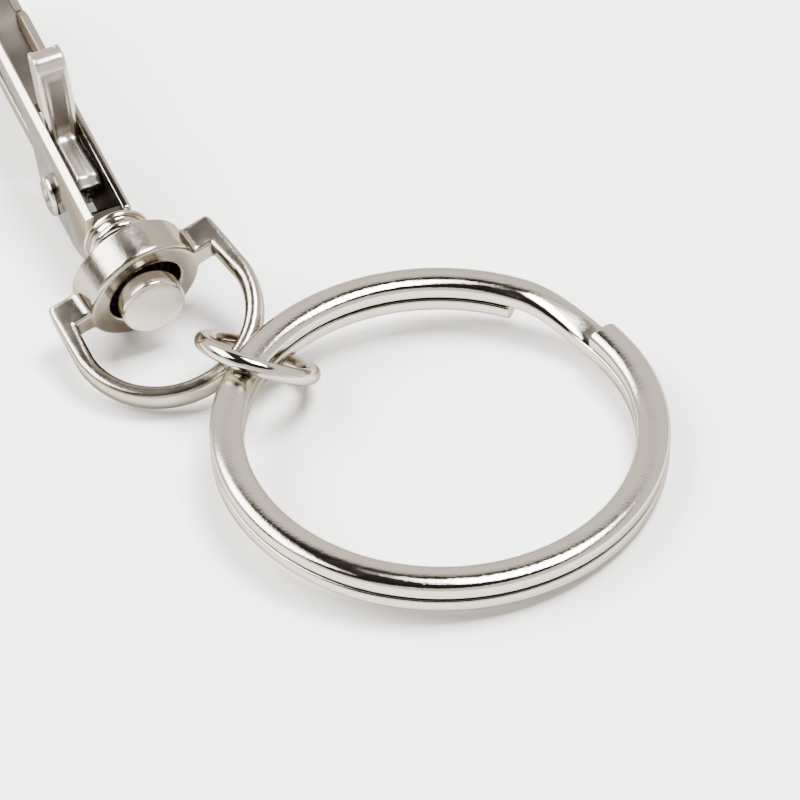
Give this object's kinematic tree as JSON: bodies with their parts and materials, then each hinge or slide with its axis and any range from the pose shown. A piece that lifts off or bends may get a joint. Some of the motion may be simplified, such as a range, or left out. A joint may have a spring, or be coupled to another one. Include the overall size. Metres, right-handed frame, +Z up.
{
  "type": "split key ring with swivel clasp",
  "caption": "Nickel-plated split key ring joined by a small link to the swivel bow of a trigger clasp, lying on a table.",
  "frame": {"origin": "middle of the chain's box, on the plane it lies on", "axes": "+Z up from the table; +Y from the split ring towards the clasp's nose, along the longest side of the box; +X to the right of that"},
  "size_m": [0.0508, 0.0648, 0.0137],
  "materials": {
    "ring_nickel": "bright nickel plate over steel, fine plating texture",
    "link_nickel": "bright nickel plate over steel wire",
    "bow_nickel": "bright nickel plate over a zinc casting",
    "pin_nickel": "nickel plate, satin flat on the head",
    "washer_nickel": "bright nickel plate",
    "body_nickel": "bright nickel plate over folded steel sheet",
    "lever_nickel": "bright nickel plate over folded steel sheet",
    "rivet_nickel": "nickel plate, turned head",
    "spring_steel": "bare spring steel"
  },
  "bodies": {
    "ring": {"split_ring": "ring_nickel"},
    "link": {"jump_ring": "link_nickel"},
    "bow": {"swivel_bow": "bow_nickel"},
    "clasp": {"clasp_body": "body_nickel", "swivel_pin": "pin_nickel", "pivot_rivet": "rivet_nickel", "return_spring": "spring_steel"},
    "washer": {"thrust_washer": "washer_nickel"},
    "lever": {"trigger_lever": "lever_nickel"}
  },
  "joints": [
    {"name": "link_slide", "type": "hinge", "parent": "ring", "child": "link", "pos_m": [0.01036, -0.01741, 0.00259], "axis": [0.0688, -0.03, 0.9972], "continuous": true},
    {"name": "bow_swing", "type": "hinge", "parent": "link", "child": "bow", "pos_m": [-0.00264, -0.00835, 0.00278], "axis": [0.4475, 0.8373, 0.314], "range_deg": [-60, 35]},
    {"name": "clasp_swivel", "type": "hinge", "parent": "bow", "child": "clasp", "pos_m": [-0.01005, -0.00169, 0.00451], "axis": [-0.3736, 0.9242, 0.0786], "continuous": true},
    {"name": "washer_spin", "type": "hinge", "parent": "clasp", "child": "washer", "pos_m": [-0.01005, -0.00169, 0.00451], "axis": [-0.3736, 0.9242, 0.0786], "continuous": true},
    {"name": "trigger", "type": "hinge", "parent": "clasp", "child": "lever", "pos_m": [-0.01495, 0.00983, 0.00229], "axis": [0.9276, 0.3728, 0.0251], "range_deg": [0, 13], "stiffness_Nm_per_rad": 0.03, "springref_deg": -11.46}
  ]
}
